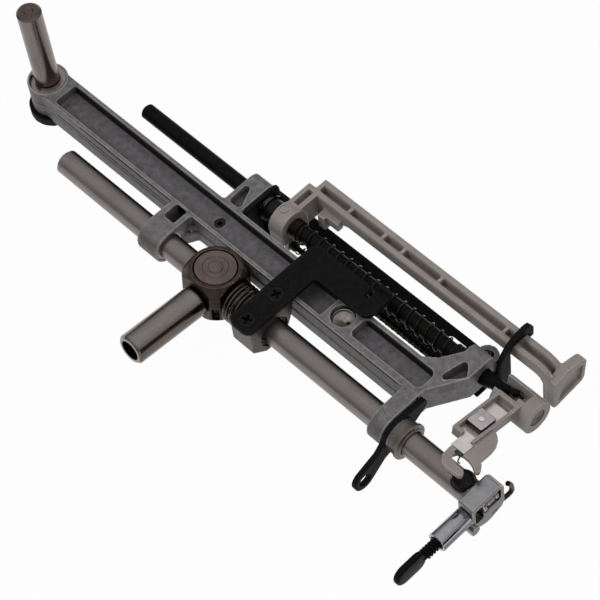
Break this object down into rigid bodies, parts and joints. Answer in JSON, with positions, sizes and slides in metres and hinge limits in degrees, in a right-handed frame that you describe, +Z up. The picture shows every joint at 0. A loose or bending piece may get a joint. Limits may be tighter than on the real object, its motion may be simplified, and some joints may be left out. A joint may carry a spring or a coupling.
{
  "type": "sewing machine needle bar unit",
  "caption": "Swinging cast frame on a pivot pin, carrying a sliding needle bar with crank stud and needle clamp, and a spring-returned lever that lowers a needle threader.",
  "frame": {"origin": "on the pivot pin's axis, level with the needle bar's axis", "axes": "+X along the needle bar towards the needle, +Y towards the threader, +Z up the pivot pin towards its free end"},
  "size_m": [0.1878, 0.0791, 0.0457],
  "materials": {
    "cast_frame": "sand-cast, matte",
    "ground_steel": "ground",
    "dark_steel": "oiled and browned",
    "black_steel": "blackened, satin",
    "felt": "felt",
    "bush_bronze": "sintered, oiled",
    "grey_plastic": "moulded, satin",
    "bright_steel": "bright sheet",
    "chrome": "plated",
    "spring_wire": "drawn wire",
    "black_plastic": "moulded"
  },
  "bodies": {
    "pivot": {"pivot_pin": "ground_steel", "pivot_clip": "dark_steel"},
    "frame": {"needle_bar_frame": "cast_frame", "pivot_bush": "bush_bronze", "pivot_washer": "felt", "upper_bar_bush": "bush_bronze", "lower_bar_bush": "bush_bronze", "zigzag_lever": "black_steel", "frame_stud": "ground_steel", "channel_screw": "dark_steel", "threader_bracket": "black_steel", "spring_rod": "ground_steel", "return_spring": "spring_wire", "small_spring": "spring_wire"},
    "bar": {"needle_bar": "ground_steel", "stud_block": "dark_steel", "stud_plug": "dark_steel", "stud_pin": "ground_steel", "stud_set_screw": "dark_steel", "bar_spring": "spring_wire", "plate_clamp": "ground_steel", "hook_plate": "black_steel", "hook_plate_screws": "black_steel", "bar_thread_guide": "black_plastic", "needle_clamp": "chrome", "needle_stop": "chrome", "clamp_sleeve": "chrome", "thread_guide_hook": "ground_steel"},
    "screw": {"thumb_screw": "black_steel"},
    "lever": {"threader_lever": "grey_plastic", "cam_sleeve": "black_plastic", "shaft_ring": "bright_steel"},
    "shaft": {"threader_shaft": "black_steel", "threader_head": "grey_plastic", "head_plate": "bright_steel", "hook_block": "chrome", "hook_rivet": "chrome", "thread_hook": "spring_wire"}
  },
  "joints": [
    {"name": "frame_swing", "type": "hinge", "parent": "pivot", "child": "frame", "pos_m": [0, 0, 0], "axis": [0, 0, 1], "range_deg": [-1.2, 1.2]},
    {"name": "needle_bar_stroke", "type": "slide", "parent": "frame", "child": "bar", "axis": [1, 0, 0], "range_m": [-0.004, 0.028]},
    {"name": "clamp_screw_turn", "type": "hinge", "parent": "bar", "child": "screw", "pos_m": [0.1775, -0.0133, 0], "axis": [0, 1, 0], "range_deg": [0, 540]},
    {"name": "threader_stroke", "type": "slide", "parent": "frame", "child": "lever", "axis": [1, 0, 0], "range_m": [0, 0.038], "stiffness_N_per_m": 90, "springref_m": -0.012, "deforming": ["return_spring", "small_spring"]},
    {"name": "threader_turn", "type": "hinge", "parent": "lever", "child": "shaft", "pos_m": [0, 0.0134, 0], "axis": [1, 0, 0], "range_deg": [0, 4]}
  ],
  "couplings": [
    {"joint": "threader_turn", "follows": "threader_stroke", "rad_per_m": 1.8372}
  ]
}
